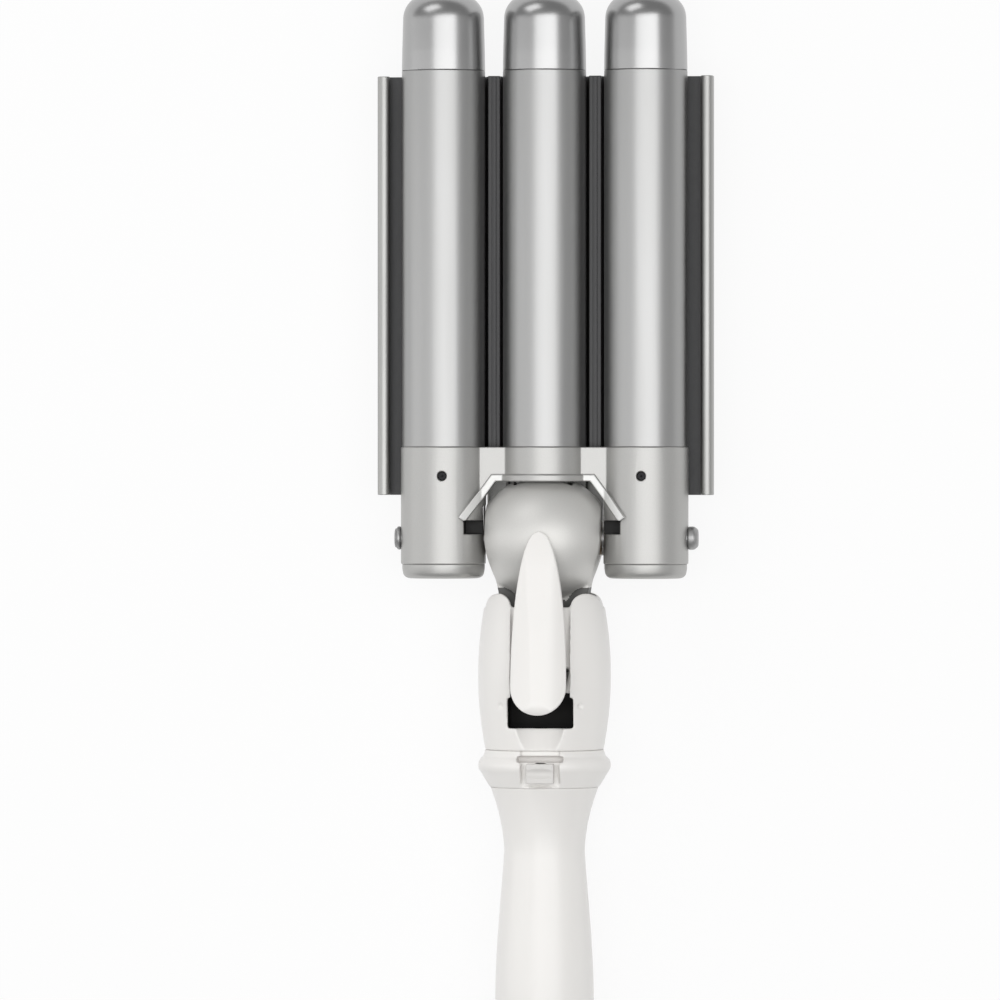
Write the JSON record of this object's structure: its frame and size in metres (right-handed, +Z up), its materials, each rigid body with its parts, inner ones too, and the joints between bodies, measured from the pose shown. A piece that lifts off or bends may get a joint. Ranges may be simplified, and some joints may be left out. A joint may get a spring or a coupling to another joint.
{
  "type": "hair waver",
  "caption": "Multi-barrel hair waver: a hinged jaw of round heated barrels over a channelled press plate, with thumb lever, slide lock and a slim grip with buttons.",
  "frame": {"origin": "bottom centre of the bounding box, on the surface that the waver lies on", "axes": "+Z up out of the surface, towards the front face with the thumb lever; +Y along the barrels from the grip to the tips; +X across the barrels"},
  "size_m": [0.101, 0.378, 0.0485],
  "materials": {
    "barrel_coat": "satin silver heat-proof coating on drawn aluminium tube",
    "polished_tip": "bright plated cool tip",
    "core_aluminium": "cast, as machined",
    "alumina": "fired ceramic heater strip",
    "sensor_epoxy": "dipped epoxy bead",
    "fuse_can": "drawn can",
    "wire_sleeve": "silicone insulation",
    "silver_paint": "moulded heat-proof plastic with fine silver paint",
    "steel": "bright zinc plated",
    "blackened_steel": "black oxide",
    "cast_zinc": "die cast",
    "white_plastic": "moulded, smooth satin gloss",
    "sintered_bronze": "sintered",
    "plate_aluminium": "pressed sheet, satin coated",
    "black_plastic": "moulded, dark",
    "panel_plastic": "moulded, pale grey satin",
    "smoked_lens": "smoked clear plastic, polished",
    "display_glass": "segment display",
    "board_laminate": "glass-epoxy laminate",
    "switch_plastic": "moulded",
    "button_plastic": "moulded, silver grey",
    "contact_brass": "drawn and pressed",
    "gland_plastic": "moulded"
  },
  "bodies": {
    "handle": {"knuckle_front": "silver_paint", "knuckle_rear": "silver_paint", "left_bush": "sintered_bronze", "right_bush": "sintered_bronze", "lever_spring": "steel", "press_plate": "plate_aluminium", "plate_rivets": "steel", "rear_arm": "plate_aluminium", "arm_screws": "steel", "head_front": "white_plastic", "head_rear": "white_plastic", "lever_well": "black_plastic", "neck_screws": "steel", "head_screws": "steel", "collar": "white_plastic", "grip_front": "white_plastic", "grip_rear": "white_plastic", "grip_screws": "steel", "control_panel": "panel_plastic", "display_lens": "smoked_lens", "display_module": "display_glass", "control_board": "board_laminate", "board_screws": "steel", "tact_switches": "switch_plastic", "wire_loom": "wire_sleeve", "mains_leads": "wire_sleeve", "brush_block": "contact_brass", "end_cap": "white_plastic"},
    "jaw": {"left_tube": "barrel_coat", "middle_tube": "barrel_coat", "right_tube": "barrel_coat", "left_tip": "polished_tip", "middle_tip": "polished_tip", "right_tip": "polished_tip", "left_heater_core": "core_aluminium", "middle_heater_core": "core_aluminium", "right_heater_core": "core_aluminium", "heater_strips": "alumina", "temperature_sensor": "sensor_epoxy", "thermal_fuse": "fuse_can", "heater_leads": "wire_sleeve", "barrel_holder": "silver_paint", "left_sleeve_cap": "silver_paint", "right_sleeve_cap": "silver_paint", "holder_screws": "blackened_steel", "hinge_axle": "steel", "axle_nut": "steel", "lever_yoke": "cast_zinc", "yoke_pin": "steel", "thumb_lever": "white_plastic", "lever_screws": "steel"},
    "lock": {"lock_slider": "white_plastic"},
    "plus": {"plus_button": "button_plastic"},
    "minus": {"minus_button": "button_plastic"},
    "power": {"power_button": "button_plastic"},
    "swivel": {"cord_gland": "gland_plastic", "slip_ring": "contact_brass"}
  },
  "joints": [
    {"name": "jaw_hinge", "type": "hinge", "parent": "handle", "child": "jaw", "pos_m": [0, 0.025, 0.0192], "axis": [1, 0, 0], "range_deg": [0, 11], "stiffness_Nm_per_rad": 0.9, "springref_deg": -22.92, "deforming": ["lever_spring"]},
    {"name": "lock_slide", "type": "slide", "parent": "handle", "child": "lock", "axis": [0, 1, 0], "range_m": [0, 0.0024]},
    {"name": "plus_press", "type": "slide", "parent": "handle", "child": "plus", "axis": [0, 0, -1], "range_m": [0, 0.0006], "stiffness_N_per_m": 1500, "springref_m": -0.0006},
    {"name": "minus_press", "type": "slide", "parent": "handle", "child": "minus", "axis": [0, 0, -1], "range_m": [0, 0.0006], "stiffness_N_per_m": 1500, "springref_m": -0.0006},
    {"name": "power_press", "type": "slide", "parent": "handle", "child": "power", "axis": [0, 0, -1], "range_m": [0, 0.0006], "stiffness_N_per_m": 1500, "springref_m": -0.0006},
    {"name": "cord_swivel", "type": "hinge", "parent": "handle", "child": "swivel", "pos_m": [0, -0.178, 0.0192], "axis": [0, 1, 0], "continuous": true}
  ]
}
